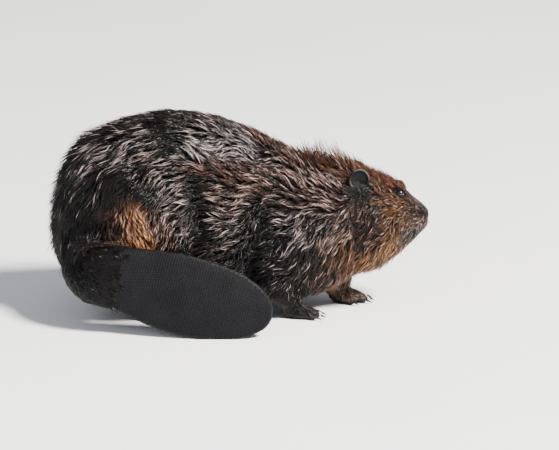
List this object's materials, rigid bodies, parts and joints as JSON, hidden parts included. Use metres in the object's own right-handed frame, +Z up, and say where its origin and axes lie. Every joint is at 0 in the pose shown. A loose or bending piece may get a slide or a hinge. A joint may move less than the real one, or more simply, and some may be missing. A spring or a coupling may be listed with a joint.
{
  "type": "beaver",
  "caption": "Life-size still beaver crouched on all fours, its back arched, head low and flat scaly tail swung forward along its right side.",
  "frame": {"origin": "on the floor, under the centre of the bounding box", "axes": "+X towards the nose, +Y to the animal's left, +Z up; the tail lies along the right side, at -Y"},
  "size_m": [0.5972, 0.3336, 0.3205],
  "materials": {
    "coat_dark": "wet near-black brown fur",
    "coat_brown": "wet dark red-brown fur",
    "coat_gold": "damp golden-brown fur",
    "scales": "satin dark grey scaly hide",
    "bare_skin": "satin near-black hide",
    "eye": "wet gloss",
    "claw": "smooth horn"
  },
  "bodies": {
    "root": {"head": "coat_gold", "neck": "coat_brown", "foreleg_right": "coat_brown", "foreleg_left": "coat_brown", "trunk": "coat_dark", "thigh_right": "coat_dark", "thigh_left": "coat_dark", "tail_root": "coat_dark", "tail_paddle": "scales", "hind_foot_right": "bare_skin", "hind_foot_left": "bare_skin", "forepaw_right": "coat_dark", "forepaw_left": "coat_dark", "ear_right": "bare_skin", "ear_left": "bare_skin", "eye_right": "eye", "eye_left": "eye", "nose": "bare_skin", "claw_hind_foot_right_1": "claw", "claw_hind_foot_right_2": "claw", "claw_hind_foot_right_3": "claw", "claw_hind_foot_right_4": "claw", "claw_hind_foot_right_5": "claw", "claw_forepaw_right_1": "claw", "claw_forepaw_right_2": "claw", "claw_forepaw_right_3": "claw", "claw_forepaw_right_4": "claw", "claw_forepaw_right_5": "claw", "claw_hind_foot_left_1": "claw", "claw_hind_foot_left_2": "claw", "claw_hind_foot_left_3": "claw", "claw_hind_foot_left_4": "claw", "claw_hind_foot_left_5": "claw", "claw_forepaw_left_1": "claw", "claw_forepaw_left_2": "claw", "claw_forepaw_left_3": "claw", "claw_forepaw_left_4": "claw", "claw_forepaw_left_5": "claw"}
  },
  "joints": []
}
